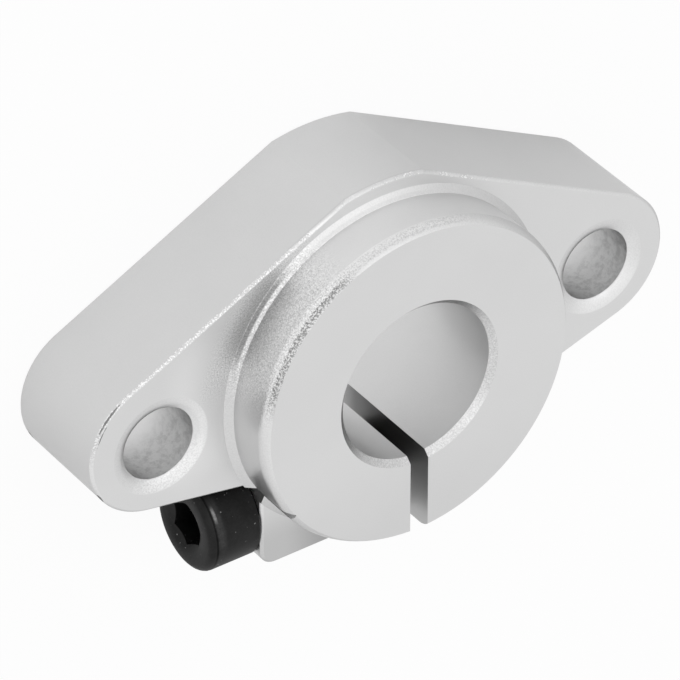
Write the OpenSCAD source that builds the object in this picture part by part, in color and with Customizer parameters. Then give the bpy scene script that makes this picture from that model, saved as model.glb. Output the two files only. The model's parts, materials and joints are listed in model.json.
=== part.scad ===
// Flange-mounted support block for a 12 mm shaft.
// The bore axis is Z, the mounting face is the plane z = 0 and the boss points to +Z.
// The slit opens downwards, to -Y, and one cap screw across it closes the bore on the shaft.

/* [Shaft bore] */
// Diameter of the shaft that the bore takes
shaft_d = 12; // [10:0.5:13]
// Size of the chamfer at both ends of the bore
bore_chamfer = 0.45; // [0.2:0.05:0.8]
// Width of the clamping slit
slit_w = 1.45; // [1:0.05:2]

/* [Boss] */
// Whole length along the bore, from the mounting face to the front of the boss
body_len = 13; // [12:0.5:20]
// Diameter of the round boss
boss_d = 25; // [23:0.5:25.5]
// How far the boss's rounded front rim runs in over the front face
rim_w = 0.4; // [0.3:0.05:0.6]
// How far the rounded rim runs back along the boss's side
rim_h = 0.9; // [0.6:0.05:1.2]
// Width of the sloping foot ring between the boss and the flange
foot_w = 0.55; // [0.3:0.05:0.7]
// Height of the foot ring
foot_h = 0.4; // [0.2:0.05:0.7]

/* [Flange] */
// Thickness of the flange
flange_t = 8.8; // [8:0.1:9.5]
// Distance between the two mounting holes
hole_pitch = 36; // [35:0.5:40]
// Diameter of each mounting hole
hole_d = 5.5; // [4:0.1:6]
// Radius of the round ear about each mounting hole
ear_r = 5.3; // [5:0.1:6]
// How far an ear's centre lies outside its mounting hole
ear_out = 0.2; // [0:0.05:0.5]
// How far an ear's centre lies above its mounting hole
ear_rise = 0.25; // [0:0.05:0.5]
// Width of the dished rim round each mounting hole
dish_w = 0.95; // [0.5:0.05:1.2]
// Depth of the dished rim
dish_depth = 0.35; // [0.15:0.05:0.5]
// Height of the flange above the bore axis
flange_top = 14.1; // [13.9:0.1:14.5]
// How much nearer to the bore axis the two upper flanks lie than the round top
flank_step = 0.4; // [0.2:0.05:0.6]
// Distance of the lower flank above the screw head from the bore axis
head_flank_reach = 8.2; // [7.6:0.1:8.5]
// Distance of the lower flank beside the tapped jaw from the bore axis
tap_flank_reach = 10.7; // [9:0.1:11]
// Radius that softens the front and back edges of the flange
edge_r = 0.5; // [0.3:0.05:0.7]

/* [Clamp lug] */
// Distance of the lug's flat foot below the bore axis
lug_bottom = 13.8; // [13.7:0.1:16]
// Distance from the middle of the slit to the seat of the screw head
seat_x = 10.1; // [9.5:0.1:11]
// Distance from the middle of the slit to the end of the tapped jaw
tap_x = 9.4; // [9.3:0.1:10]
// Radius of the lug's lower corners
lug_corner_r = 1.2; // [0.7:0.1:1.4]

/* [Clamp screw] */
// Thread diameter of the clamp screw
screw_d = 4; // [3:0.5:4]
// Length of the screw under its head
screw_len = 16; // [14:1:18]
// Size of the chamfer at the screw's tip
tip_chamfer = 0.4; // [0.2:0.1:0.6]
// Diameter of the screw head
head_d = 7; // [6:0.1:7.2]
// Height of the screw head
head_h = 4; // [3:0.1:4.5]
// Radius that softens the rim of the head
head_rim_r = 0.6; // [0.3:0.05:0.8]
// Width across the flats of the hexagon socket
socket_af = 3; // [2:0.1:3.2]
// Depth of the hexagon socket
socket_depth = 2.2; // [1.5:0.1:2.5]
// Width of the chamfer at the mouth of the socket, over the hexagon's corners
socket_chamfer = 0.3; // [0.1:0.05:0.5]
// Height of the screw axis above the lug's foot
screw_rise = 3.3; // [3:0.1:3.6]
// Distance of the screw axis from the mounting face
screw_z = 5.4; // [4:0.1:5.8]
// Clearance all round the shank in the plain jaw
shank_clearance = 0.25; // [0.1:0.05:0.4]
// Running clearance all round the thread in the tapped jaw
thread_clearance = 0.05; // [0.02:0.01:0.1]

/* [Hidden] */
$fn = 96;
// Overrun that carries a cut clear of the face that it leaves
over = 1;
// A softened edge is an arc whose centre lies this share of its radius inside both faces,
// so it meets each face at a slight, crisp angle
soft_share = 0.88;
// A flank runs this far inside the line that would just touch its ear,
// so the two meet at a slight, crisp angle
flank_nip = 0.003;
// Slope of a rounded lip where it leaves the face that it runs further over
lip_slope = 5;
// Aluminium and black steel
block_colour = [0.8, 0.81, 0.82];
screw_colour = [0.09, 0.09, 0.1];

boss_r = boss_d / 2;
flank_reach = flange_top - flank_step;
screw_y = screw_rise - lug_bottom;
edge_in = edge_r * soft_share;
edge_cut = edge_in - sqrt(edge_r ^ 2 - edge_in ^ 2);

left_hole = [-hole_pitch / 2, 0];
right_hole = [hole_pitch / 2, 0];
left_ear = left_hole + [-ear_out, ear_rise];
right_ear = right_hole + [ear_out, ear_rise];

// Each flank is a line tangent to an ear, at its own distance from the bore axis.
// This is its slope to the X axis, for an ear that stands up on the flank's side of that axis.
function flank_slope(reach, rise) =
    asin((reach - ear_r) / norm(right_ear)) - atan2(rise, right_ear.x);

top_slope = flank_slope(flank_reach, ear_rise);
head_slope = flank_slope(head_flank_reach, -ear_rise);
tap_slope = flank_slope(tap_flank_reach, -ear_rise);

// Where the flanks end: on the ears, above the round top and on the lug
function ear_point(angle) = (ear_r - flank_nip) * [cos(angle), sin(angle)];
function flank_y(x, reach, slope) = (x * sin(slope) - reach + flank_nip) / cos(slope);
apex = [0, -flank_y(0, flank_reach, top_slope)];
head_corner = [-seat_x, flank_y(seat_x, head_flank_reach, head_slope)];
tap_corner = [tap_x, flank_y(tap_x, tap_flank_reach, tap_slope)];

// The foot ring stays on the flange's face
foot_out = boss_r + min(foot_w, flank_reach - edge_cut - boss_r);

// Outline of the whole block, looking back along the bore from the boss
module block_outline() {
    top_w = 2 * flank_reach * sin(top_slope);
    difference() {
        flank_outline();
        difference() {
            translate([-top_w / 2, 0])
                square([top_w, apex.y + over]);
            circle(flange_top);
        }
    }
    for (ear = [left_ear, right_ear])
        translate(ear)
            circle(ear_r);
    for (x = [lug_corner_r - seat_x, tap_x - lug_corner_r])
        translate([x, lug_corner_r - lug_bottom])
            circle(lug_corner_r);
}

// The block's straight sides
module flank_outline() {
    polygon([
        left_ear + ear_point(90 + top_slope),
        apex,
        right_ear + ear_point(90 - top_slope),
        right_ear,
        right_ear + ear_point(tap_slope - 90),
        tap_corner,
        [tap_x, lug_corner_r - lug_bottom],
        [tap_x - lug_corner_r, -lug_bottom],
        [lug_corner_r - seat_x, -lug_bottom],
        [-seat_x, lug_corner_r - lug_bottom],
        head_corner,
        left_ear + ear_point(-90 - head_slope),
        left_ear,
    ]);
}

// Section of the boss from the bore axis outwards, with its soft rim and its foot ring
module boss_section() {
    root = flange_t - over;
    difference() {
        polygon([
            [0, root],
            [foot_out, root],
            [foot_out, flange_t],
            [boss_r, flange_t + foot_h],
            [boss_r, body_len],
            [0, body_len],
        ]);
        translate([boss_r, body_len])
            lip_corner(rim_w, rim_h);
    }
}

// What a rounded lip takes off a square corner that lies at the origin.
// The arc crosses the corner's upper face, and leaves its right one at the lip's slope.
module lip_corner(across, down) {
    radius = (across ^ 2 + down ^ 2) / (2 * (across * cos(lip_slope) - down * sin(lip_slope)));
    centre = -[radius * cos(lip_slope), down + radius * sin(lip_slope)];
    translate(centre)
        difference() {
            square([over, over] - centre);
            circle(radius);
        }
}

// What a soft edge takes off a square corner, from the arc's centre at the origin
module soft_corner(radius, inset) {
    difference() {
        square(inset + over);
        circle(radius);
    }
}

// Cutter for a straight front edge with the waste on its left.
// It runs past its ends, except at an inner corner.
module soft_line(from, to, past = [over, over]) {
    run = to - from;
    translate([from.x, from.y, flange_t - edge_in])
        rotate([0, 0, atan2(run.y, run.x)])
            rotate([90, 0, 90])
                translate([-edge_in, 0, -past[0]])
                    linear_extrude(past[0] + norm(run) + past[1])
                        soft_corner(edge_r, edge_in);
}

// Cutter for a round front edge
module soft_arc(centre, radius, start, sweep) {
    translate([centre.x, centre.y, flange_t - edge_in])
        rotate([0, 0, start])
            rotate_extrude(angle = sweep)
                translate([radius - edge_in, 0])
                    soft_corner(edge_r, edge_in);
}

// Cutters for the softened front edges, clockwise from the lug
module soft_edges() {
    seat_foot = [-seat_x, lug_corner_r - lug_bottom];
    tap_foot = [tap_x, lug_corner_r - lug_bottom];
    soft_line(seat_foot, head_corner, [over, 0]);
    soft_line(head_corner, left_ear + ear_point(-90 - head_slope), [0, over]);
    soft_arc(left_ear, ear_r, 90 + top_slope, 180 - top_slope - head_slope);
    soft_line(left_ear + ear_point(90 + top_slope), apex);
    soft_arc([0, 0], flange_top, 90 - top_slope, 2 * top_slope);
    soft_line(apex, right_ear + ear_point(90 - top_slope));
    soft_arc(right_ear, ear_r, tap_slope - 90, 180 - top_slope - tap_slope);
    soft_line(right_ear + ear_point(tap_slope - 90), tap_corner, [over, 0]);
    soft_line(tap_corner, tap_foot, [0, over]);
    soft_arc(tap_foot - [lug_corner_r, 0], lug_corner_r, -90, 90);
    soft_line([tap_foot.x - lug_corner_r, -lug_bottom], [seat_foot.x + lug_corner_r, -lug_bottom]);
    soft_arc(seat_foot + [lug_corner_r, 0], lug_corner_r, 180, 90);
}

// Through hole for one mounting screw, with its dished front rim
module mounting_hole() {
    translate([0, 0, -over])
        cylinder(d = hole_d, h = flange_t + 2 * over);
    translate([0, 0, flange_t])
        rotate_extrude()
            translate([hole_d / 2, 0])
                rotate(90)
                    lip_corner(dish_depth, dish_w);
}

// Bore with a chamfer at both ends
module shaft_bore() {
    bore_r = shaft_d / 2;
    rotate_extrude()
        polygon([
            [0, -over],
            [bore_r + bore_chamfer + over, -over],
            [bore_r, bore_chamfer],
            [bore_r, body_len - bore_chamfer],
            [bore_r + bore_chamfer + over, body_len + over],
            [0, body_len + over],
        ]);
}

// Screw hole across the slit: plain in the head's jaw, tapped in the other
module screw_hole() {
    translate([0, screw_y, screw_z])
        rotate([0, 90, 0]) {
            translate([0, 0, -seat_x - over])
                cylinder(r = screw_d / 2 + shank_clearance, h = seat_x + over);
            cylinder(r = screw_d / 2 + thread_clearance, h = tap_x + over);
        }
}

module flange_block() {
    color(block_colour)
        difference() {
            union() {
                difference() {
                    linear_extrude(flange_t)
                        block_outline();
                    soft_edges();
                    translate([0, 0, flange_t])
                        mirror([0, 0, 1])
                            soft_edges();
                }
                intersection() {
                    rotate_extrude()
                        boss_section();
                    linear_extrude(body_len + over)
                        block_outline();
                }
            }
            shaft_bore();
            translate([-slit_w / 2, -lug_bottom - over, -over])
                cube([slit_w, lug_bottom + over, body_len + 2 * over]);
            for (hole = [left_hole, right_hole])
                translate(hole)
                    mounting_hole();
            screw_hole();
        }
}

// Half section of the screw along its axis, from the head's end face at 0
module screw_section() {
    rim_in = head_rim_r * soft_share;
    difference() {
        square([head_d / 2, head_h]);
        translate([head_d / 2 - rim_in, rim_in])
            mirror([0, 1])
                soft_corner(head_rim_r, rim_in);
    }
    polygon([
        [0, head_h - over],
        [screw_d / 2, head_h - over],
        [screw_d / 2, head_h + screw_len - tip_chamfer],
        [screw_d / 2 - tip_chamfer, head_h + screw_len],
        [0, head_h + screw_len],
    ]);
}

module clamp_screw() {
    socket_r = socket_af / 2 / cos(30);
    mouth_r = socket_r + socket_chamfer;
    color(screw_colour)
        translate([-seat_x - head_h, screw_y, screw_z])
            rotate([0, 90, 0])
                difference() {
                    rotate_extrude()
                        screw_section();
                    translate([0, 0, -over])
                        rotate([0, 0, 90])
                            cylinder(r = socket_r, h = socket_depth + over, $fn = 6);
                    translate([0, 0, -over])
                        cylinder(r1 = mouth_r + over, r2 = 0, h = mouth_r + over);
                }
}

flange_block();
clamp_screw();
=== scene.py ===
"""Studio scene of a flange-mounted shaft support block.

The block keeps its CAD shape and gets a bead-blasted finish. The clamp screw is rebuilt with a real thread,
and the tapped jaw gets its thread where the screw doesn't reach. Sizes are in millimetres and degrees, until
a mesh is placed. X runs from ear to ear, Y up the block, and Z along the shaft from the mounting face.
"""
import json
import logging
import math
from dataclasses import dataclass
from enum import Enum
from typing import Any, Optional, Sequence, Union

import bmesh
import bpy
from mathutils import Matrix, Vector


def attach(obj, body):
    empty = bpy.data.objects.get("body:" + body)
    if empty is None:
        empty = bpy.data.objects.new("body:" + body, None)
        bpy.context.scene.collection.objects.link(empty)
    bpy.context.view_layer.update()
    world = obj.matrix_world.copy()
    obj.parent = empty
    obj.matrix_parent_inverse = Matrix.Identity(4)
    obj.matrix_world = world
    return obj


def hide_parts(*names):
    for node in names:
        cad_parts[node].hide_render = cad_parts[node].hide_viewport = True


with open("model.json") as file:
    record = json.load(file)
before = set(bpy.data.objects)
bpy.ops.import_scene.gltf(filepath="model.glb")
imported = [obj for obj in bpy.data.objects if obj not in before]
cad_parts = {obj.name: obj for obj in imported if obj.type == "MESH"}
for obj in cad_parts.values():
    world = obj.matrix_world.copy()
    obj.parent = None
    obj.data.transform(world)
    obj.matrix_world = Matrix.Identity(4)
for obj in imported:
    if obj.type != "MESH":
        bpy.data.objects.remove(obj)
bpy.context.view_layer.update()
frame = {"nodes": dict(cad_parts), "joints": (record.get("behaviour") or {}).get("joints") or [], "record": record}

MM = 0.001
FAR = 1000.0  # further than any point of the block
WELD = 1e-4  # distance at which vertices merge
SHARP_ANGLE = math.radians(32.0)
WHITE = (1.0, 1.0, 1.0, 1.0)
log = logging.getLogger("shaft_support")

Operand = Union["Signal", float]
Fade = tuple[float, float]  # where a mask is 0 and where it is 1
Point = tuple[float, float, float]


class Body(Enum):
    """The CAD bodies that pieces ride on."""

    BLOCK = "block"
    SCREW = "screw"


class Slot(Enum):
    """The record's material slots."""

    ALUMINIUM = "blasted_aluminium"
    STEEL = "black_steel"


def mount_sizes(name: str) -> dict[str, float]:
    """Returns the sizes that the record gives for a mount."""
    return next(mount["dims"] for mount in frame["record"]["mounts"] if mount["name"] == name)


def joint_place(name: str) -> Point:
    """Returns a joint's place in millimetres."""
    place = next(joint["pos_m"] for joint in frame["joints"] if joint["name"] == name)
    return tuple(part / MM for part in place)


@dataclass(frozen=True)
class BlockSize:
    """The CAD block's sizes that its finish and its threads follow.

    The foot is the sloping ring round the boss, and the jaw is the tapped half of the lug.
    """

    bore_r: float = mount_sizes("shaft_bore")["r_mm"]
    hole_x: float = mount_sizes("flange_bolts")["spacing_x_mm"] / 2
    hole_r: float = mount_sizes("flange_bolts")["hole_r_mm"]
    screw_seat: Point = joint_place("clamp_screw_turn")
    flange_t: float = 8.8
    ear_centre: tuple[float, float] = (-18.2, 0.25)
    boss_r: float = 12.5
    foot_r: float = 13.05
    foot_top: float = 9.2
    slit_half: float = 0.725
    jaw_x: float = 9.4
    tapped_r: float = 2.05


BLOCK = BlockSize()
SIDES = (-1, 1)


# ---- Shader maths ----


class Signal:
    """A value socket that takes part in Python arithmetic.

    Args:
        graph: The graph that owns the node.
        socket: The output socket that carries the value.
    """

    def __init__(self, graph: "Graph", socket: bpy.types.NodeSocket) -> None:
        """Keeps the graph and the socket."""
        self.graph = graph
        self.socket = socket

    def _math(self, operation: str, *values: Operand) -> "Signal":
        """Adds a Math node of that operation on these values."""
        return self.graph.node("ShaderNodeMath", {"operation": operation}, dict(enumerate(values)))

    def __add__(self, other: Operand) -> "Signal":
        """Returns self + other."""
        return self._math("ADD", self, other)

    def __radd__(self, other: Operand) -> "Signal":
        """Returns other + self."""
        return self._math("ADD", other, self)

    def __sub__(self, other: Operand) -> "Signal":
        """Returns self - other."""
        return self._math("SUBTRACT", self, other)

    def __rsub__(self, other: Operand) -> "Signal":
        """Returns other - self."""
        return self._math("SUBTRACT", other, self)

    def __mul__(self, other: Operand) -> "Signal":
        """Returns self * other."""
        return self._math("MULTIPLY", self, other)

    def __rmul__(self, other: Operand) -> "Signal":
        """Returns other * self."""
        return self._math("MULTIPLY", other, self)

    def __truediv__(self, other: Operand) -> "Signal":
        """Returns self / other."""
        return self._math("DIVIDE", self, other)

    def __abs__(self) -> "Signal":
        """Returns the size of self without its sign."""
        return self._math("ABSOLUTE", self)

    def __or__(self, other: Operand) -> "Signal":
        """Returns the larger of two masks, so a | b is where either is on."""
        return self._math("MAXIMUM", self, other)

    def __and__(self, other: Operand) -> "Signal":
        """Returns the smaller of two masks, so a & b is where both are on."""
        return self._math("MINIMUM", self, other)

    def arctan2(self, other: Operand) -> "Signal":
        """Returns the angle of the point whose Y is self and whose X is other."""
        return self._math("ARCTAN2", self, other)

    def wrap(self, half: float) -> "Signal":
        """Returns self brought between -half and half."""
        return self._math("WRAP", self, half, -half)

    def mix(self, other: Operand, share: Operand) -> "Signal":
        """Returns self where share is 0 and other where it is 1."""
        return self * (1.0 - share) + other * share

    def ramp(self, start: float, end: float) -> "Signal":
        """Returns a mask that goes smoothly from 0 at start to 1 at end.

        Args:
            start: The value of self where the mask is 0.
            end: The value of self where the mask is 1. It may be below start.

        Returns:
            The mask.
        """
        settings = {"interpolation_type": "SMOOTHSTEP"}
        if start < end:
            return self.graph.node("ShaderNodeMapRange", settings, {0: self, 1: start, 2: end})
        return 1.0 - self.graph.node("ShaderNodeMapRange", settings, {0: self, 1: end, 2: start})

    def swing(self, share: float) -> "Signal":
        """Returns a factor round 1 from a noise round 0.5, which it widens by a share."""
        return (self - 0.5) * share + 1.0

    def near(self, middle: float, fade: Fade) -> "Signal":
        """Returns a mask of the values near a middle one, faded by their distance from it."""
        return abs(self - middle).ramp(*fade)


class Graph:
    """A node tree under construction.

    Args:
        tree: The tree that the nodes go to.
    """

    def __init__(self, tree: bpy.types.NodeTree) -> None:
        """Takes the tree and empties it."""
        self.tree = tree
        tree.nodes.clear()

    def node(
        self,
        kind: str,
        settings: dict[str, Any],
        inputs: dict[Union[str, int], Any],
        output: Union[str, int] = 0,
    ) -> Signal:
        """Adds one node.

        Args:
            kind: The node's type.
            settings: Attributes of the node, which are set first.
            inputs: Values or links of its sockets, by name or number.
            output: The output socket that is returned.

        Returns:
            The output as a signal.
        """
        made = self.tree.nodes.new(kind)
        for key, value in settings.items():
            setattr(made, key, value)
        for key, value in inputs.items():
            if isinstance(value, Signal):
                self.tree.links.new(value.socket, made.inputs[key])
            else:
                made.inputs[key].default_value = value
        return Signal(self, made.outputs[output])

    def blend(self, share: Signal, below: Signal, above: Signal) -> Signal:
        """Returns the shader below where share is 0 and the one above where it is 1."""
        return self.node("ShaderNodeMixShader", {}, {0: share, 1: below, 2: above})

    def end(self, kind: str, shader: Signal) -> None:
        """Links a shader to an output node of that type."""
        self.tree.links.new(shader.socket, self.tree.nodes.new(kind).inputs["Surface"])


class Recipe(Graph):
    """A material under construction, with the nodes that its finish asks for.

    Args:
        name: The material's name.
    """

    def __init__(self, name: str) -> None:
        """Makes the material, with its object coordinates and its surface's direction."""
        self.material = bpy.data.materials.new(name)
        self.material.use_nodes = True
        super().__init__(self.material.node_tree)
        self._object = self.node("ShaderNodeTexCoord", {}, {}, "Object")
        self.direction = Signal(self, self._object.socket.node.outputs["Normal"])

    def vectors(self, operation: str, *values: Any, output: str = "Vector") -> Signal:
        """Adds a Vector Math node of that operation on these values."""
        return self.node("ShaderNodeVectorMath", {"operation": operation}, dict(enumerate(values)), output)

    def place(self, origin: Point = (0.0, 0.0, 0.0)) -> Signal:
        """Returns object coordinates in millimetres from an origin."""
        shift = tuple(-part for part in origin)
        return self.vectors("MULTIPLY_ADD", self._object, (1.0 / MM,) * 3, shift)

    def axes(self, vector: Signal) -> tuple[Signal, Signal, Signal]:
        """Returns the X, Y and Z of a vector."""
        outputs = self.node("ShaderNodeSeparateXYZ", {}, {0: vector}).socket.node.outputs
        return tuple(Signal(self, output) for output in outputs)

    def distance(self, centre: Point, weights: Point) -> Signal:
        """Returns the distance from a point in millimetres.

        Args:
            centre: The point.
            weights: Weight of each axis. A 0 measures from a line along that axis.

        Returns:
            The distance as a signal.
        """
        apart = self.vectors("MULTIPLY", self.place(centre), weights)
        return self.vectors("LENGTH", apart, output="Value")

    def radius(self, x: float = 0.0, y: float = 0.0) -> Signal:
        """Returns the distance from a line along Z, which is the shaft's axis if no x or y is given."""
        return self.distance((x, y, 0.0), (1.0, 1.0, 0.0))

    def grain(
        self, size: float, detail: float = 2.0, roughness: float = 0.5, origin: Point = (0.0, 0.0, 0.0)
    ) -> Signal:
        """Returns noise around 0.5 whose lumps are about one size across.

        Args:
            size: Size of the lumps in millimetres.
            detail: Octaves of finer noise.
            roughness: Strength of the finer octaves.
            origin: The point that becomes 0, in millimetres.

        Returns:
            The noise as a signal.
        """
        inputs = {"Vector": self.place(origin), "Scale": 1.0 / size}
        inputs |= {"Detail": detail, "Roughness": roughness}
        return self.node("ShaderNodeTexNoise", {}, inputs)

    def relief(
        self, height: Signal, depth: float, strength: float, under: Optional[Signal] = None
    ) -> Signal:
        """Returns a bumped normal.

        Args:
            height: The height, where 1 stands one depth above 0.
            depth: The depth in millimetres.
            strength: Strength of the bump.
            under: A normal that this bump lies on.

        Returns:
            The normal as a signal.
        """
        inputs: dict[Union[str, int], Any] = {"Strength": strength, "Distance": depth * MM, "Height": height}
        if under is not None:
            inputs["Normal"] = under
        return self.node("ShaderNodeBump", {}, inputs, "Normal")

    def metal(self, tone: Signal, roughness: Signal, normal: Signal) -> bpy.types.Material:
        """Ends the recipe as a grey metal.

        Args:
            tone: How much light it throws back.
            roughness: Its roughness.
            normal: Its bumped normal.

        Returns:
            The finished material.
        """
        grey = self.node("ShaderNodeCombineColor", {}, {0: tone, 1: tone, 2: tone})
        inputs = {"Base Color": grey, "Metallic": 1.0, "Roughness": roughness, "Normal": normal}
        self.end("ShaderNodeOutputMaterial", self.node("ShaderNodeBsdfPrincipled", {}, inputs, "BSDF"))
        return self.material


# ---- Zones of the block ----


class BlockSurface:
    """What the finish reads at a point of the block: its place, whether it is on an edge, and two grains.

    An edge is what slopes, between the upright walls and the flat faces.

    Args:
        recipe: The finish under construction.
        fine_size: Size of the fine grain.
        coarse_size: Size of the coarse grain, which shows where the blasting marked the block.
    """

    OFF_WALLS: Fade = (0.05, 0.2)
    OFF_FACES: Fade = (0.998, 0.982)

    def __init__(self, recipe: Recipe, fine_size: float, coarse_size: float) -> None:
        """Makes the readings, which all zones share."""
        self.recipe = recipe
        self.fine = recipe.grain(fine_size, detail=3.0, roughness=0.6)
        self.coarse = recipe.grain(coarse_size, detail=1.5, roughness=0.6)
        self.pepper = self.coarse - 0.5
        self.x, self.y, self.z = recipe.axes(recipe.place())
        self.radius = recipe.radius()
        lean = abs(recipe.axes(recipe.direction)[2])
        self.edge = lean.ramp(*self.OFF_WALLS) & lean.ramp(*self.OFF_FACES)


@dataclass(frozen=True)
class Band:
    """A stretch of millimetres whose mask rises from start to full and falls from hold to end."""

    start: float
    full: float
    hold: float = FAR
    end: float = 2.0 * FAR

    def mask(self, value: Signal) -> Signal:
        """Returns the mask of a value."""
        return value.ramp(self.start, self.full) & value.ramp(self.end, self.hold)


@dataclass(frozen=True)
class Sector:
    """Directions round the shaft: all up to inner degrees from the centre one, none from outer degrees."""

    centre: float
    inner: float
    outer: float

    def mask(self, at: BlockSurface) -> Signal:
        """Returns the sector's mask.

        Args:
            at: The point of the block.

        Returns:
            The mask.
        """
        turn = math.radians(self.centre)
        aim = (at.x * math.cos(turn) + at.y * math.sin(turn)) / at.radius
        return aim.ramp(math.cos(math.radians(self.outer)), math.cos(math.radians(self.inner)))


class Zone:
    """A part of the block whose tone is lighter, darker or grainier than the rest, from its finish or from painted
    light and shade.
    """

    def factor(self, at: BlockSurface) -> Signal:
        """Returns the factor on the block's tone, which is 1 outside the zone."""
        raise NotImplementedError


FRONT = Band(BLOCK.flange_t - 0.2, BLOCK.flange_t - 0.05)
BESIDE_BOSS: Fade = (BLOCK.boss_r + 0.18, BLOCK.boss_r + 0.30)
BOSS_SIDE = Band(BLOCK.boss_r - 0.2, BLOCK.boss_r - 0.1, BLOCK.boss_r + 0.02, BLOCK.boss_r + 0.04)
BOSS_SIDE_LEVEL = Band(BLOCK.foot_top - 0.2, BLOCK.foot_top)
FOOT = Band(BLOCK.boss_r, BLOCK.boss_r + 0.02, BLOCK.foot_r, BLOCK.foot_r + 0.02)
FOOT_LEVEL = Band(BLOCK.flange_t - 0.05, BLOCK.flange_t, BLOCK.foot_top, BLOCK.foot_top + 0.05)


@dataclass(frozen=True)
class Patch:
    """A lighter or darker patch on the boss or beside it, mostly painted light or shade.

    The change is how much lighter it is, or how much darker if it is below 0. The arc is where it lies round
    the shaft, or None for all round, the reach its distance from the shaft's axis, and the level its height.
    """

    change: float
    arc: Optional[Sector]
    reach: Band
    level: Band

    def shade(self, at: BlockSurface) -> Signal:
        """Returns how much lighter or darker the patch makes each point."""
        shade = (self.reach.mask(at.radius) & self.level.mask(at.z)) * self.change
        return self.arc.mask(at) * shade if self.arc else shade


@dataclass(frozen=True)
class BossPaintedLightAndShade(Zone):
    """Painted shade on the boss's upper left and painted light on its top and towards the left ear, with a darker
    foot ring and flange edge.
    """

    patches: tuple[Patch, ...] = (
        # Painted shade on the upper left: low on the boss's side, on the flange in front of it, and on the foot
        # ring.
        Patch(-0.16, arc=Sector(145, 5, 21), reach=BOSS_SIDE, level=Band(9.0, 9.2, 9.8, 11.6)),
        Patch(-0.29, arc=Sector(145, 5, 19), reach=Band(*BESIDE_BOSS, 13.2, 14.8), level=FRONT),
        Patch(-0.26, arc=Sector(145, 7, 22), reach=Band(12.66, 12.8, FOOT.hold, FOOT.end), level=FOOT_LEVEL),
        # The foot ring all round.
        Patch(-0.11, arc=None, reach=FOOT, level=FOOT_LEVEL),
        # Painted light on the top of the boss, and on the narrow step of the flange beside it.
        Patch(0.09, arc=Sector(102, 12, 34), reach=BOSS_SIDE, level=BOSS_SIDE_LEVEL),
        Patch(0.09, arc=Sector(102, 12, 34), reach=Band(*BESIDE_BOSS, 13.9, 14.0), level=FRONT),
        # The flange's rounded edge along that step.
        Patch(-0.14, arc=Sector(98, 18, 32), reach=Band(13.6, 13.8), level=Band(8.42, 8.66, 8.79, 8.80)),
        # Painted light on the flange between the boss and the left ear.
        Patch(0.10, arc=Sector(174, 10, 24), reach=Band(13.05, 13.1, 16.0, 19.0), level=FRONT),
    )

    def factor(self, at: BlockSurface) -> Signal:
        """Returns the factor on the block's tone."""
        return sum((patch.shade(at) for patch in self.patches), 1.0)


@dataclass(frozen=True)
class GrainyEdgesAndPaintedLight(Zone):
    """The rounded edges, grainier, with painted light and shade: lighter where they face the upper left and darker
    where they face away.
    """

    light_from: Point = (-0.62, 0.58, 0.53)
    fade: Fade = (0.05, 0.85)
    darkest: float = -0.19
    lightest: float = 0.10
    pepper: float = 0.22

    def factor(self, at: BlockSurface) -> Signal:
        """Returns the factor on the block's tone.

        Args:
            at: The point of the block.

        Returns:
            The factor.
        """
        aim = at.recipe.vectors("DOT_PRODUCT", at.recipe.direction, self.light_from, output="Value")
        # Painted light and shade set by the way each edge faces, with the coarse grain on top.
        painted_light = aim.ramp(*self.fade) * (self.lightest - self.darkest) + self.darkest
        return (1.0 + at.edge * at.pepper * self.pepper) * (1.0 + at.edge * painted_light)


@dataclass(frozen=True)
class SprayedPatch(Zone):
    """The grainier patch round the boss's upper left."""

    arc: Sector = Sector(144, 14, 32)
    reach: Band = Band(12.0, 12.2, 13.8, 15.6)
    level: Band = Band(8.6, 8.75, 12.6, 12.9)
    pepper: float = 1.3

    def factor(self, at: BlockSurface) -> Signal:
        """Returns the factor on the block's tone."""
        mask = self.arc.mask(at) & self.reach.mask(at.radius) & self.level.mask(at.z)
        return 1.0 + mask * at.pepper * self.pepper


@dataclass(frozen=True)
class LugPaintedShade(Zone):
    """Painted shade on the lug's front face, most of all away from the screw's head."""

    drop: Fade = (-8.5, -12.0)
    level: Band = Band(8.0, 8.6, 8.8, 8.85)
    darkening: float = 0.18
    shade_towards_slit: float = 0.24
    away: Fade = (-8.5, -4.5)

    def factor(self, at: BlockSurface) -> Signal:
        """Returns the factor on the block's tone."""
        face = at.y.ramp(*self.drop) & self.level.mask(at.z)
        # Painted shade, deepest towards the slit.
        return 1.0 - face * (self.darkening + self.shade_towards_slit * at.x.ramp(*self.away))


@dataclass(frozen=True)
class LowerHalfShade(Zone):
    """Painted shade on the block's lower half, a little darker towards the lug."""

    drop: Fade = (-4.0, -12.0)
    darkening: float = 0.06

    def factor(self, at: BlockSurface) -> Signal:
        """Returns the factor on the block's tone."""
        return 1.0 - self.darkening * at.y.ramp(*self.drop)


@dataclass(frozen=True)
class BoreChamfer(Zone):
    """The sloping chamfers at the bore's two ends."""

    reach: Fade = (BLOCK.bore_r + 0.6, BLOCK.bore_r + 0.5)
    darkening: float = 0.14
    pepper: float = 0.5

    def factor(self, at: BlockSurface) -> Signal:
        """Returns the factor on the block's tone."""
        mask = at.edge & at.radius.ramp(*self.reach)
        return 1.0 + mask * (at.pepper * self.pepper - self.darkening)


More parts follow.
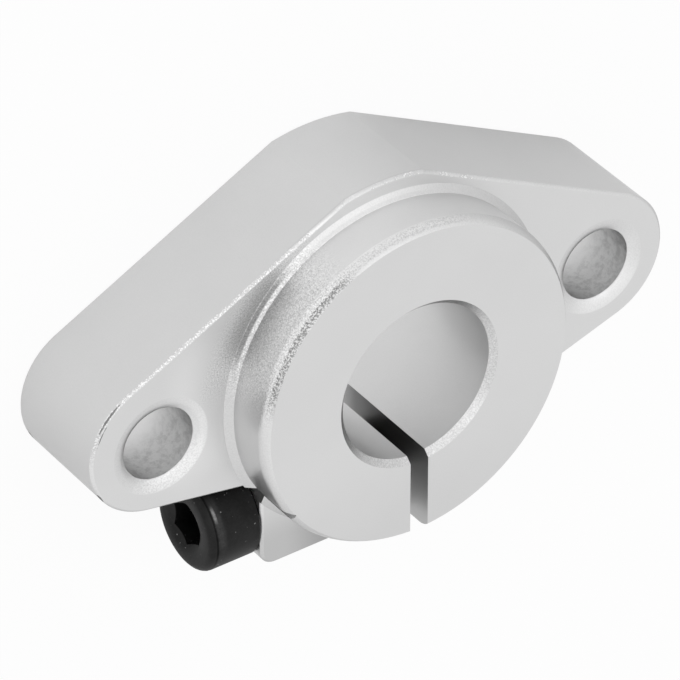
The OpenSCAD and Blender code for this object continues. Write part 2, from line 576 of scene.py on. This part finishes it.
@dataclass(frozen=True)
class DishHighlights(Zone):
    """A painted highlight on the lower part of the dish round each mounting hole, with coarser grain on the left
    ear.
    """

    reach: Band = Band(BLOCK.hole_r + 0.01, BLOCK.hole_r + 0.11, BLOCK.hole_r + 0.87, BLOCK.hole_r + 1.05)
    facing: tuple[float, float] = (0.31, -0.95)
    fade: Fade = (0.35, 0.90)
    level: Fade = (8.3, 8.4)
    left: Fade = (0.0, -1.0)
    light: float = 0.11
    pepper: float = 0.5

    def lit_crescent(self, at: BlockSurface, side: int) -> Signal:
        """Returns the mask of one dish's painted highlight, at any height.

        Args:
            at: The point of the block.
            side: The hole's side, -1 for left or 1 for right.

        Returns:
            The mask.
        """
        radius = at.recipe.radius(side * BLOCK.hole_x)
        across, down = self.facing
        aim = ((at.x - side * BLOCK.hole_x) * across + at.y * down) / radius
        return self.reach.mask(radius) & aim.ramp(*self.fade)

    def factor(self, at: BlockSurface) -> Signal:
        """Returns the factor on the block's tone."""
        mask = (self.lit_crescent(at, -1) | self.lit_crescent(at, 1)) & at.z.ramp(*self.level)
        # The light share is a painted highlight; the coarse grain shows on the left ear.
        return 1.0 + mask * (at.pepper * self.pepper * at.x.ramp(*self.left) + self.light)


@dataclass(frozen=True)
class MarkedRim(Zone):
    """The boss's front rim, where the blasting marked it most."""

    reach: Fade = (12.06, 12.14)
    lip: Fade = (12.50, 12.64)
    lip_arc: Sector = Sector(142, 18, 30)
    shoulder: Band = Band(12.12, 12.30, 12.70, 12.88)
    shoulder_arc: Sector = Sector(100, 18, 34)
    shoulder_share: float = 0.30
    darkening: float = 0.10
    pits: float = 0.5
    pit_fade: Fade = (0.38, 0.60)

    def mask(self, at: BlockSurface) -> Signal:
        """Returns the mask of the marks.

        Args:
            at: The point of the block.

        Returns:
            The mask.
        """
        outside = at.radius.ramp(*self.reach)
        lip = at.z.ramp(*self.lip) & outside & self.lip_arc.mask(at)
        shoulder = self.shoulder.mask(at.z) & outside & self.shoulder_arc.mask(at)
        return lip | shoulder * self.shoulder_share

    def factor(self, at: BlockSurface) -> Signal:
        """Returns the factor on the block's tone."""
        return 1.0 - self.mask(at) * (self.darkening + (1.0 - at.coarse.ramp(*self.pit_fade)) * self.pits)


@dataclass(frozen=True)
class FootGlints:
    """Painted glints along the two edges of the foot ring, on its upper left."""

    arc: Sector = Sector(144, 16, 30)
    level: Band = Band(BLOCK.flange_t - 0.05, BLOCK.flange_t, BLOCK.foot_top + 0.03, BLOCK.foot_top + 0.06)
    inner_r: float = BLOCK.boss_r + 0.03
    inner_fade: Fade = (0.06, 0.03)
    inner_share: float = 0.55
    outer_r: float = BLOCK.foot_r - 0.03
    outer_fade: Fade = (0.05, 0.02)
    outer_share: float = 0.30

    def mask(self, at: BlockSurface) -> Signal:
        """Returns the mask of the painted glints.

        Args:
            at: The point of the block.

        Returns:
            The mask.
        """
        inner = at.radius.near(self.inner_r, self.inner_fade) * self.inner_share
        outer = at.radius.near(self.outer_r, self.outer_fade) * self.outer_share
        return (inner | outer) * (self.level.mask(at.z) & self.arc.mask(at))


@dataclass(frozen=True)
class FlangeEdgeGlints:
    """Painted glints on the flange's upper front edge, more towards the left ear."""

    level: Band = Band(8.28, 8.33, 8.80, 8.86)
    past_ear: Fade = (4.3, 4.6)
    past_foot: Fade = (13.15, 13.2)
    gap_size: float = 0.9
    gap_fade: Fade = (0.50, 0.56)
    broken_share: float = 0.8
    whole: Fade = (-6.0, -9.0)
    right_end: Fade = (9.0, 7.0)
    upper: Fade = (0.0, 2.5)
    upper_share: float = 0.9

    def mask(self, at: BlockSurface) -> Signal:
        """Returns the mask of the painted glints.

        Args:
            at: The point of the block.

        Returns:
            The mask.
        """
        ear = at.recipe.radius(-BLOCK.hole_x).ramp(*self.past_ear)
        edge = at.edge & self.level.mask(at.z) & ear & at.radius.ramp(*self.past_foot)
        gaps = at.recipe.grain(self.gap_size).ramp(*self.gap_fade) * self.broken_share
        stretch = at.x.ramp(*self.right_end) & at.y.ramp(*self.upper) * self.upper_share
        return edge & (gaps | at.x.ramp(*self.whole)) & stretch


@dataclass(frozen=True)
class HoleWallLight(Zone):
    """The walls of the mounting holes, brightened by painted light, with darker blotches near the front."""

    reach: Fade = (BLOCK.hole_r + 0.05, BLOCK.hole_r)
    light: float = 0.137
    darkening: float = 0.34
    front: Fade = (3.6, 6.4)
    haze: float = 0.45
    blotch_size: float = 0.55
    blotch_fade: Fade = (0.40, 0.66)

    def factor(self, at: BlockSurface) -> Signal:
        """Returns the factor on the block's tone.

        Args:
            at: The point of the block.

        Returns:
            The factor.
        """
        left, right = (at.recipe.radius(side * BLOCK.hole_x).ramp(*self.reach) for side in SIDES)
        walls = left | right
        blotches = at.recipe.grain(self.blotch_size, detail=4.0, roughness=0.7).ramp(*self.blotch_fade)
        mottle = at.z.ramp(*self.front) * (self.haze + (1.0 - self.haze) * blotches)
        # Painted light brightens the walls; the blotches darken them near the front.
        return (1.0 + walls * self.light) * (1.0 - walls * mottle * self.darkening)


@dataclass(frozen=True)
class SlitPaintedShade:
    """Painted shade on the sawn walls of the slit: dark, and less so at the back and at the bottom."""

    half: Fade = (BLOCK.slit_half + 0.02, BLOCK.slit_half + 0.005)
    below_bore: Fade = (-5.6, -6.0)
    dark: float = 0.46
    lit_tone: float = 0.62
    back: Fade = (4.6, 3.2)
    bottom: Fade = (-9.0, -12.5)
    bottom_share: float = 0.6
    roughness: float = 0.32

    def mask(self, at: BlockSurface) -> Signal:
        """Returns the mask of the slit's walls."""
        return at.x.near(0.0, self.half) & at.y.ramp(*self.below_bore)

    def tone(self, at: BlockSurface) -> Signal:
        """Returns the slit walls' painted shade as a tone."""
        ends = at.z.ramp(*self.back) | at.y.ramp(*self.bottom) * self.bottom_share
        return (self.lit_tone - self.dark) * ends + self.dark


@dataclass(frozen=True)
class Scar:
    """A thin dark nick along the rounded edge of the left ear, as an ellipsoid bent round the ear."""

    radius: float
    start: float
    end: float
    width: float
    low: float
    high: float
    fraying: float = 2.6
    fade: Fade = (1.1, 0.6)
    dark: float = 0.72

    def factor(self, at: BlockSurface, fray: Signal) -> Signal:
        """Returns the factor on the block's tone.

        Args:
            at: The point of the block.
            fray: Noise that frays the nick's outline.

        Returns:
            The factor, which is 1 off the nick.
        """
        ear_x, ear_y = BLOCK.ear_centre
        across = (at.recipe.radius(ear_x, ear_y) - self.radius) / (self.width / 2)
        middle = math.radians(self.start + self.end) / 2
        half = math.radians(self.end - self.start) / 2
        along = ((at.y - ear_y).arctan2(at.x - ear_x) - middle).wrap(math.pi) / half
        level = (at.z - (self.low + self.high) / 2) / ((self.high - self.low) / 2)
        reach = across * across + along * along + level * level
        return 1.0 - self.dark * (reach + (fray - 0.5) * self.fraying).ramp(*self.fade)


# ---- Finishes ----


@dataclass(frozen=True)
class BlastedAluminium:
    """Fine bead-blasted aluminium: matt silver, coarser and livelier on its rounded edges, with painted light and
    shade in its tone.
    """

    tone: float = 0.73
    cloud_size: float = 5.0
    cloud_share: float = 0.05
    fine_size: float = 0.10
    fine_share: float = 0.08
    coarse_size: float = 0.11
    swell_size: float = 0.5
    edge_relief: float = 0.25
    rim_relief: float = 0.75
    roughness: float = 0.36
    fine_roughness: float = 0.10
    edge_polish: float = 0.04
    zones: tuple[Zone, ...] = (
        GrainyEdgesAndPaintedLight(),
        SprayedPatch(),
        BossPaintedLightAndShade(),
        LugPaintedShade(),
        LowerHalfShade(),
        BoreChamfer(),
        DishHighlights(),
    )
    rim: MarkedRim = MarkedRim()
    foot: FootGlints = FootGlints()
    edge: FlangeEdgeGlints = FlangeEdgeGlints()
    glint_tone: float = 0.64
    glint_share: float = 0.32
    glint_fade: Fade = (0.50, 0.60)
    walls: HoleWallLight = HoleWallLight()
    slit: SlitPaintedShade = SlitPaintedShade()
    fray_size: float = 0.30
    scars: tuple[Scar, ...] = (
        Scar(radius=5.20, start=120.0, end=152.0, width=0.12, low=8.42, high=8.86),
        Scar(radius=5.02, start=140.0, end=164.0, width=0.12, low=8.46, high=8.90),
        Scar(radius=5.26, start=205.0, end=215.0, width=0.20, low=8.40, high=8.75),
        Scar(radius=5.20, start=202.0, end=216.0, width=0.60, low=0.15, high=0.60),
    )

    def make(self) -> bpy.types.Material:
        """Makes the material from the even finish, the zones, the painted glints, the walls and the scars.

        Returns:
            The material.
        """
        recipe = Recipe("blasted_aluminium")
        at = BlockSurface(recipe, self.fine_size, self.coarse_size)
        cloud = recipe.grain(self.cloud_size).swing(self.cloud_share)
        tone = self.tone * cloud * at.fine.swing(self.fine_share)
        for zone in (*self.zones, self.rim):
            tone = tone * zone.factor(at)
        # Painted glints: the flange's edge and the foot ring take a bright grained tone.
        glints = self.glint_tone + self.glint_share * at.coarse.ramp(*self.glint_fade)
        tone = tone.mix(glints, self.edge.mask(at) | self.foot.mask(at)) * self.walls.factor(at)
        # Painted shade in the slit.
        tone = tone.mix(self.slit.tone(at), self.slit.mask(at))
        fray = recipe.grain(self.fray_size, detail=3.0, roughness=0.7)
        for scar in self.scars:
            tone = tone * scar.factor(at, fray)
        roughness = self.roughness + self.fine_roughness * (at.fine - 0.5) - self.edge_polish * at.edge
        roughness = roughness.mix(self.slit.roughness, self.slit.mask(at))
        return recipe.metal(tone, roughness, self.relief(at))

    def relief(self, at: BlockSurface) -> Signal:
        """Returns the normal, bumped by a soft swell, the fine grain and the marks' coarse grain.

        Args:
            at: The point of the block.

        Returns:
            The normal.
        """
        normal = at.recipe.relief(at.recipe.grain(self.swell_size), depth=0.05, strength=0.08)
        normal = at.recipe.relief(at.fine, depth=0.03, strength=0.30, under=normal)
        marks = at.coarse * (at.edge * self.edge_relief + self.rim.mask(at) * self.rim_relief)
        return at.recipe.relief(marks, depth=0.05, strength=0.5, under=normal)


@dataclass(frozen=True)
class PaleStreak:
    """A place on the side of the screw's head where the black is lighter."""

    back: float
    back_fade: Fade
    turn: float
    turn_fade: Fade
    share: float

    def mask(self, back: Signal, turn: Signal) -> Signal:
        """Returns the mask, from the distance behind the end face and the angle round the screw."""
        return back.near(self.back, self.back_fade) * turn.near(self.turn, self.turn_fade) * self.share


@dataclass(frozen=True)
class BlackOxide:
    """Black oxide on steel: near black, satin, with a painted dark reflection line and a lighter streak behind the
    head's rim, and a few specks of dust.
    """

    end_face: Point
    tone: float = 0.028
    fine_size: float = 0.14
    fine_share: float = 0.5
    cloud_size: float = 1.2
    cloud_share: float = 1.0
    roughness: float = 0.50
    cloud_roughness: float = 0.2
    speck_size: float = 0.22
    speck_fade: Fade = (0.73, 0.80)
    speck_origin: Point = (5.0, 2.0, 1.0)
    speck_tone: float = 0.22
    side: Fade = (2.7, 2.9)
    line_x: float = 0.45
    line_fade: Fade = (0.09, 0.04)
    line_dark: float = 0.75
    pale_tone: float = 0.30
    pale_grain: float = 1.4
    pale_fade: Fade = (0.2, 0.6)
    streak: PaleStreak = PaleStreak(back=0.66, back_fade=(0.17, 0.04), turn=0.70, turn_fade=(0.22, 0.04), share=0.8)
    haze: PaleStreak = PaleStreak(back=0.8, back_fade=(0.5, 0.1), turn=0.5, turn_fade=(0.9, 0.2), share=0.10)

    def make(self) -> bpy.types.Material:
        """Makes the material from the even black, the painted reflection line, the lighter places and the dust.

        Returns:
            The material.
        """
        recipe = Recipe("black_oxide")
        fine = recipe.grain(self.fine_size, detail=3.0, roughness=0.6)
        cloud = recipe.grain(self.cloud_size, detail=3.0, roughness=0.6)
        speck = recipe.grain(self.speck_size, detail=1.0, origin=self.speck_origin).ramp(*self.speck_fade)
        back, y, z = recipe.axes(recipe.place(self.end_face))
        turn = y.arctan2(z)
        side = recipe.distance(self.end_face, (0.0, 1.0, 1.0)).ramp(*self.side)
        # A painted dark reflection line round the head's side.
        reflection_line = back.near(self.line_x, self.line_fade) & side
        pale_places = self.streak.mask(back, turn) + self.haze.mask(back, turn)
        pale_places = pale_places * fine.swing(self.pale_grain) * cloud.ramp(*self.pale_fade) * side
        tone = self.tone * cloud.swing(self.cloud_share) * fine.swing(self.fine_share)
        tone = tone * (1.0 - self.line_dark * reflection_line)
        tone = tone + speck * self.speck_tone + pale_places * self.pale_tone
        roughness = self.roughness + self.cloud_roughness * (cloud - 0.5)
        return recipe.metal(tone, roughness, recipe.relief(fine, depth=0.02, strength=0.3))


# ---- Pieces ----


class Workpiece:
    """A bmesh in millimetres that becomes a piece of the model.

    Args:
        name: The piece's name.
    """

    def __init__(self, name: str) -> None:
        """Starts an empty bmesh."""
        self.name = name
        self.mesh = bmesh.new()

    def loop(self, points: Sequence[tuple[float, float]], closed: bool) -> list[Any]:
        """Adds a section in the XY plane.

        Args:
            points: The corners, as X along the axis and Y as the radius.
            closed: Whether the last corner joins the first.

        Returns:
            The new vertices and edges.
        """
        corners = [self.mesh.verts.new((x, y, 0.0)) for x, y in points]
        pairs = list(zip(corners, corners[1:]))
        if closed:
            pairs.append((corners[-1], corners[0]))
        return corners + [self.mesh.edges.new(pair) for pair in pairs]

    def turn(self, section: list[Any], steps: int) -> None:
        """Turns a section a full circle about X.

        Args:
            section: Vertices and edges of the section.
            steps: Steps in the circle.
        """
        bmesh.ops.spin(
            self.mesh,
            geom=section,
            cent=(0, 0, 0),
            axis=(1, 0, 0),
            angle=2 * math.pi,
            steps=steps,
            use_merge=True,
        )
        self.weld()

    def wind(self, section: list[Any], pitch: float, turns: float, steps: int) -> None:
        """Winds a closed section along X as a right-handed thread, and caps its ends.

        Args:
            section: Vertices and edges of the closed section.
            pitch: Advance in a turn.
            turns: Number of turns.
            steps: Steps in a turn.
        """
        count = round(turns * steps)
        bmesh.ops.spin(
            self.mesh,
            geom=section,
            cent=(0, 0, 0),
            axis=(1, 0, 0),
            dvec=(pitch / steps, 0, 0),
            angle=2 * math.pi * count / steps,
            steps=count,
        )
        bmesh.ops.holes_fill(self.mesh, edges=self.open_edges(), sides=0)

    def weld(self) -> None:
        """Merges vertices in the same place."""
        bmesh.ops.remove_doubles(self.mesh, verts=self.mesh.verts, dist=WELD)

    def open_edges(self) -> list[bmesh.types.BMEdge]:
        """Returns the edges that have only one face."""
        return [edge for edge in self.mesh.edges if edge.is_boundary]

    def finish(self, place: Point, material: bpy.types.Material, body: Body) -> bpy.types.Object:
        """Turns the bmesh into a smooth, dressed piece.

        Args:
            place: Where the bmesh's origin goes.
            material: Its finish.
            body: The body that it rides on.

        Returns:
            The new object.
        """
        self.weld()
        bmesh.ops.recalc_face_normals(self.mesh, faces=self.mesh.faces)
        move = Matrix.Scale(MM, 4) @ Matrix.Translation(place)
        bmesh.ops.transform(self.mesh, matrix=move, verts=self.mesh.verts)
        data = bpy.data.meshes.new(self.name)
        self.mesh.to_mesh(data)
        self.mesh.free()
        piece = bpy.data.objects.new(self.name, data)
        bpy.context.scene.collection.objects.link(piece)
        piece.data.materials.append(material)
        data.shade_smooth()
        data.set_sharp_from_angle(angle=SHARP_ANGLE)
        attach(piece, body.value)
        log.info("%s: %d faces", self.name, len(data.polygons))
        return piece


@dataclass(frozen=True)
class Thread:
    """A coarse metric thread of 4 mm, whose ridge sinks a little into the wall that it stands on."""

    major_r: float = 2.0
    pitch: float = 0.7
    depth: float = 0.38
    crest_w: float = 0.09
    root_w: float = 0.04
    sink: float = 0.03
    steps: int = 32

    @property
    def minor_r(self) -> float:
        """Radius at the root of the screw's thread."""
        return self.major_r - self.depth

    def cut(self, piece: Workpiece, start: float, end: float, root_r: float, crest_r: float) -> None:
        """Winds the thread's ridge onto a piece.

        Args:
            piece: The piece that gets it.
            start: Place of the first turn's middle along X.
            end: Place of the last turn's middle.
            root_r: Radius of the ridge's root.
            crest_r: Radius of its crest.
        """
        foot, tip = (self.pitch - self.root_w) / 2, self.crest_w / 2
        corners = ((-foot, root_r), (-tip, crest_r), (tip, crest_r), (foot, root_r))
        section = piece.loop([(start + along, radius) for along, radius in corners], closed=True)
        piece.wind(section, self.pitch, (end - start) / self.pitch, self.steps)


@dataclass(frozen=True)
class ClampScrew:
    """The socket head cap screw across the slit, with its axis along X and its head on the seat."""

    seat: Point = BLOCK.screw_seat
    length: float = 16.0
    head_r: float = 3.5
    head_h: float = 4.0
    rim_r: float = 0.6
    rim_steps: int = 6
    foot_chamfer: float = 0.15
    socket_af: float = 3.0
    socket_depth: float = 2.2
    socket_chamfer: float = 0.3
    socket_slope: float = 0.58
    socket_tip: float = 0.45
    neck: float = 0.6
    neck_taper: float = 0.3
    tip_chamfer: float = 0.4
    steps: int = 96
    thread: Thread = Thread()

    @property
    def end_face(self) -> Point:
        """The middle of the head's end face."""
        x, y, z = self.seat
        return (x - self.head_h, y, z)

    @property
    def socket_r(self) -> float:
        """Radius to the corners of the hexagon socket."""
        return self.socket_af / 2 / math.cos(math.radians(30))

    @property
    def tip(self) -> float:
        """Distance from the end face to the tip."""
        return self.head_h + self.length

    def _rim(self) -> list[tuple[float, float]]:
        """Returns the rounded rim from the end face to the side.

        Returns:
            The corners as X from the end face and radius.
        """
        angles = (math.pi / 2 * step / self.rim_steps for step in range(self.rim_steps + 1))
        flat_r = self.head_r - self.rim_r
        return [(self.rim_r * (1 - math.cos(a)), flat_r + self.rim_r * math.sin(a)) for a in angles]

    def _profile(self) -> list[tuple[float, float]]:
        """Returns the outside from the socket's mouth to the tip.

        Returns:
            The corners as X from the end face and radius.
        """
        core = self.thread.minor_r
        neck = self.head_h + self.neck
        return [
            (0.0, self.socket_r + self.socket_chamfer),
            *self._rim(),
            (self.head_h - self.foot_chamfer, self.head_r),
            (self.head_h, self.head_r - self.foot_chamfer),
            (self.head_h, self.thread.major_r),
            (neck, self.thread.major_r),
            (neck + self.neck_taper, core),
            (self.tip - self.tip_chamfer, core),
            (self.tip, core - self.tip_chamfer),
            (self.tip, 0.0),
        ]

    def _sink_socket(self, piece: Workpiece) -> None:
        """Sinks the hexagon socket with its cone mouth and drilled bottom.

        Args:
            piece: The screw's mesh, whose only hole is the mouth.
        """
        mesh = piece.mesh
        mouth = piece.open_edges()
        across = Matrix.Rotation(math.radians(90), 4, "Y")
        corners = bmesh.ops.create_circle(mesh, segments=6, radius=self.socket_r, matrix=across)["verts"]
        sides = list({edge for corner in corners for edge in corner.link_edges})
        bmesh.ops.subdivide_edges(mesh, edges=sides, cuts=self.steps // 6 - 1)
        ring = [edge for edge in mesh.edges if (edge.is_boundary or edge.is_wire) and edge not in mouth]
        cone_r = self.socket_r + self.socket_chamfer
        for corner in {corner for edge in ring for corner in edge.verts}:
            corner.co.x = (cone_r - math.hypot(corner.co.y, corner.co.z)) * self.socket_slope
        bmesh.ops.bridge_loops(mesh, edges=mouth + ring)
        wall = bmesh.ops.extrude_edge_only(mesh, edges=[edge for edge in ring if edge.is_boundary])["geom"]
        for part in wall:
            if isinstance(part, bmesh.types.BMVert):
                part.co.x = self.socket_depth
        rim = [part for part in wall if isinstance(part, bmesh.types.BMEdge) and part.is_boundary]
        floor = bmesh.ops.contextual_create(mesh, geom=rim)["faces"]
        bmesh.ops.poke(mesh, faces=floor)["verts"][0].co.x += self.socket_tip

    def build(self, material: bpy.types.Material) -> bpy.types.Object:
        """Builds the screw in place of its plain CAD node.

        Args:
            material: The screw's finish.

        Returns:
            The piece.
        """
        piece = Workpiece("threaded_clamp_screw")
        piece.turn(piece.loop(self._profile(), closed=False), self.steps)
        self._sink_socket(piece)
        thread = self.thread
        start = self.head_h + self.neck + thread.pitch
        end = self.tip - self.tip_chamfer - thread.pitch / 2
        thread.cut(piece, start, end, thread.minor_r - thread.sink, thread.major_r)
        made = piece.finish(self.end_face, material, Body.SCREW)
        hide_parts("clamp_screw")
        return made


@dataclass(frozen=True)
class TappedThread:
    """The thread in the tapped jaw, from a little past the screw's tip to the jaw's outer face."""

    screw: ClampScrew
    tip_gap: float = 0.4
    mouth_gap: float = 0.3
    depth: float = 0.36
    thread: Thread = Thread()

    def build(self, material: bpy.types.Material) -> bpy.types.Object:
        """Builds the thread.

        Args:
            material: The block's finish.

        Returns:
            The piece.
        """
        piece = Workpiece("tapped_thread")
        thread = self.thread
        x, y, z = self.screw.seat
        start = x + self.screw.length + self.tip_gap + thread.pitch / 2
        end = BLOCK.jaw_x - self.mouth_gap - thread.pitch / 2
        thread.cut(piece, start, end, BLOCK.tapped_r + thread.sink, BLOCK.tapped_r - self.depth)
        return piece.finish((0.0, y, z), material, Body.BLOCK)


@dataclass(frozen=True)
class FlangeBlock:
    """The one-piece aluminium block, whose CAD shape stays."""

    node: str = "flange_block"

    def dress(self, material: bpy.types.Material) -> bpy.types.Object:
        """Gives the CAD node its finish.

        Args:
            material: The finish.

        Returns:
            The node.
        """
        block = frame["nodes"][self.node]
        for slot in block.material_slots:
            slot.material = material
        log.info("%s: dressed, %d faces", self.node, len(block.data.polygons))
        return block


# ---- Studio ----


@dataclass(frozen=True)
class WhiteFloor:
    """The floor: pale paper that is nearly white to the camera, and keeps the block's shadow.

    Glossy rays see it glow white as a painted reflection: darker close to the block, but bright through the bore,
    the holes and the slit, and towards the lit side.
    """

    half: float = 900.0
    drop: float = 0.02
    paper: float = 0.8
    glow: float = 0.93
    cells: int = 8
    bore_shine: Fade = (8.0, 6.5)
    hole_shine: Fade = (4.5, 3.2)
    slit_shine: Fade = (3.0, 2.0)
    slit_start: Fade = (1.0, 0.0)
    slit_end: Fade = (-34.0, -26.0)
    shine: float = 0.85
    lit_side: tuple[float, float] = (-0.6, 0.8)
    near_least: float = 0.03
    near_more: float = 0.48
    near_fade: Fade = (0.3, 0.9)
    far: Fade = (24.0, 70.0)
    far_fade: Fade = (-0.2, 0.5)

    def lay(self) -> bpy.types.Object:
        """Lays the floor just under the mounting face.

        Returns:
            The floor.
        """
        mesh = bmesh.new()
        bmesh.ops.create_grid(mesh, x_segments=self.cells, y_segments=self.cells, size=self.half * MM)
        bmesh.ops.translate(mesh, vec=(0, 0, -self.drop * MM), verts=mesh.verts)
        data = bpy.data.meshes.new("studio_floor")
        mesh.to_mesh(data)
        mesh.free()
        floor = bpy.data.objects.new("studio_floor", data)
        bpy.context.scene.collection.objects.link(floor)
        floor.data.materials.append(self.make())
        return floor

    def make(self) -> bpy.types.Material:
        """Makes the floor's material.

        Returns:
            The material.
        """
        recipe = Recipe("white_floor")
        camera = recipe.node("ShaderNodeLightPath", {}, {}, "Is Camera Ray")
        mirror = Signal(recipe, camera.socket.node.outputs["Is Glossy Ray"])
        paper = recipe.node("ShaderNodeBsdfDiffuse", {}, {"Color": (*(self.paper,) * 3, 1.0)}, "BSDF")
        glow = recipe.node("ShaderNodeEmission", {}, {"Color": WHITE, "Strength": 1.0}, "Emission")
        share = camera * self.glow | mirror * self.painted_reflection_glow(recipe)
        recipe.end("ShaderNodeOutputMaterial", recipe.blend(share, paper, glow))
        return recipe.material

    def painted_reflection_glow(self, recipe: Recipe) -> Signal:
        """Returns how bright the painted reflection glow is at each point of the floor, as glossy rays see it.

        Args:
            recipe: The floor's recipe.

        Returns:
            The share of white.
        """
        x, y, _ = recipe.axes(recipe.place())
        radius = recipe.radius()
        through = radius.ramp(*self.bore_shine)
        for side in SIDES:
            through = through | recipe.radius(side * BLOCK.hole_x).ramp(*self.hole_shine)
        slit = x.near(0.0, self.slit_shine) & y.ramp(*self.slit_start) & y.ramp(*self.slit_end)
        lit_x, lit_y = self.lit_side
        aim = (x * lit_x + y * lit_y) / radius
        near = self.near_least + self.near_more * aim.ramp(*self.near_fade)
        far = radius.ramp(*self.far) & aim.ramp(*self.far_fade)
        return near | (through | slit) * self.shine | far


@dataclass(frozen=True)
class SoftDome:
    """The dome of light, which is plain white to the camera."""

    strength: float = 0.90

    def light(self) -> None:
        """Sets the dome as the scene's world."""
        world = bpy.data.worlds.new("soft_dome")
        world.use_nodes = True
        graph = Graph(world.node_tree)
        camera = graph.node("ShaderNodeLightPath", {}, {}, "Is Camera Ray")
        dome, white = (
            graph.node("ShaderNodeBackground", {}, {"Color": WHITE, "Strength": strength})
            for strength in (self.strength, 1.0)
        )
        graph.end("ShaderNodeOutputWorld", graph.blend(camera, dome, white))
        bpy.context.scene.world = world


@dataclass(frozen=True)
class Lamp:
    """A square lamp that looks at the block."""

    name: str
    place: Point
    size: float
    watts: float

    def hang(self) -> None:
        """Adds the lamp to the scene."""
        data = bpy.data.lights.new(self.name, "AREA")
        data.size = self.size * MM
        data.energy = self.watts
        lamp = bpy.data.objects.new(self.name, data)
        spot = Vector(self.place) * MM
        lamp.matrix_world = Matrix.Translation(spot) @ (-spot).to_track_quat("-Z", "Y").to_matrix().to_4x4()
        bpy.context.scene.collection.objects.link(lamp)


@dataclass(frozen=True)
class Camera:
    """The camera, above the block and to its left."""

    eye: Point = (-185.9, 233.7, 270.83)
    sight: Point = (0.4626, -0.5863, -0.6650)
    up: Point = (0.3344, 0.8101, -0.4816)
    lens: float = 312.06
    sensor: float = 36.0
    nearest: float = 10.0

    def aim(self) -> None:
        """Adds the camera to the scene."""
        data = bpy.data.cameras.new("studio_camera")
        data.lens = self.lens
        data.sensor_width = self.sensor
        data.clip_start = self.nearest * MM
        camera = bpy.data.objects.new("studio_camera", data)
        back = -Vector(self.sight).normalized()
        right = Vector(self.up).cross(back).normalized()
        turn = Matrix((right, back.cross(right), back)).transposed().to_4x4()
        camera.matrix_world = Matrix.Translation(Vector(self.eye) * MM) @ turn
        bpy.context.scene.collection.objects.link(camera)
        bpy.context.scene.camera = camera


@dataclass(frozen=True)
class Studio:
    """A plain white floor, a soft dome of light, two large lamps and the camera."""

    floor: WhiteFloor = WhiteFloor()
    dome: SoftDome = SoftDome()
    lamps: tuple[Lamp, ...] = (
        Lamp("key_lamp", place=(-350.0, 240.0, 500.0), size=420.0, watts=0.20),
        Lamp("top_lamp", place=(120.0, 480.0, 560.0), size=620.0, watts=0.34),
    )
    camera: Camera = Camera()

    def build(self) -> None:
        """Sets up the whole studio."""
        self.floor.lay()
        self.dome.light()
        for lamp in self.lamps:
            lamp.hang()
        self.camera.aim()
        bpy.context.scene.view_settings.view_transform = "Standard"


def main() -> None:
    logging.basicConfig(level=logging.INFO)
    screw = ClampScrew()
    aluminium = BlastedAluminium().make()
    steel = BlackOxide(screw.end_face).make()
    FlangeBlock().dress(aluminium)
    screw.build(steel)
    TappedThread(screw).build(aluminium)
    Studio().build()


if __name__ == "__main__":
    main()
